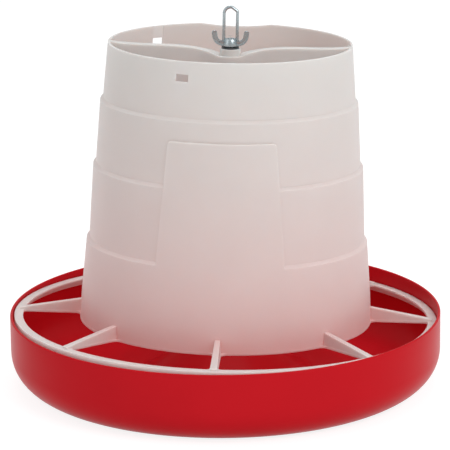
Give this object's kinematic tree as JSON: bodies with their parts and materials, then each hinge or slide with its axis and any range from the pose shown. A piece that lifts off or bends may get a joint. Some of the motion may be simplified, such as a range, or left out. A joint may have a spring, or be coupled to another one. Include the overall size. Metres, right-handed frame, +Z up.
{
  "type": "hanging poultry feeder",
  "caption": "Hanging poultry feeder with a round red pan, a translucent stepped hopper moulded with a spoked feeding ring, and a threaded rod with a wing nut and a wire bail.",
  "frame": {"origin": "centre of the pan's flat underside, on the ground", "axes": "+Z up, square to the pan's underside; -Y towards the hopper's plain front panel; +X to the right of someone who faces the panel"},
  "size_m": [0.4, 0.4, 0.3518],
  "materials": {
    "red_plastic": "glossy injection moulded polypropylene",
    "natural_plastic": "satin translucent injection moulded polypropylene",
    "zinc_steel": "bright zinc plated steel",
    "dark_steel": "dull zinc plated steel"
  },
  "bodies": {
    "pan_and_rod": {"feed_pan": "red_plastic", "lift_rod": "zinc_steel", "pan_washer_under": "zinc_steel", "pan_nut_under": "zinc_steel", "pan_washer_over": "zinc_steel", "pan_nut_over": "zinc_steel"},
    "hopper_body": {"hopper": "natural_plastic", "stop_washer": "zinc_steel", "clamp_washer": "dark_steel"},
    "stop_nut_body": {"stop_nut": "zinc_steel"},
    "wing_nut_body": {"wing_nut": "zinc_steel", "bail": "zinc_steel"}
  },
  "joints": [
    {"name": "hopper_height", "type": "slide", "parent": "pan_and_rod", "child": "hopper_body", "axis": [0.0251, 0.0375, 0.999], "range_m": [-0.008, 0.003]},
    {"name": "wing_nut_turn", "type": "hinge", "parent": "hopper_body", "child": "wing_nut_body", "pos_m": [0.00666, 0.00994, 0.31473], "axis": [0.0251, 0.0375, 0.999], "range_deg": [-2880, 1080]},
    {"name": "stop_nut_turn", "type": "hinge", "parent": "hopper_body", "child": "stop_nut_body", "pos_m": [0.00558, 0.00833, 0.27177], "axis": [0.0251, 0.0375, 0.999], "range_deg": [-2880, 1080]}
  ],
  "couplings": [
    {"joint": "wing_nut_turn", "follows": "hopper_height", "rad_per_m": 6283.2},
    {"joint": "stop_nut_turn", "follows": "hopper_height", "rad_per_m": 6283.2}
  ]
}
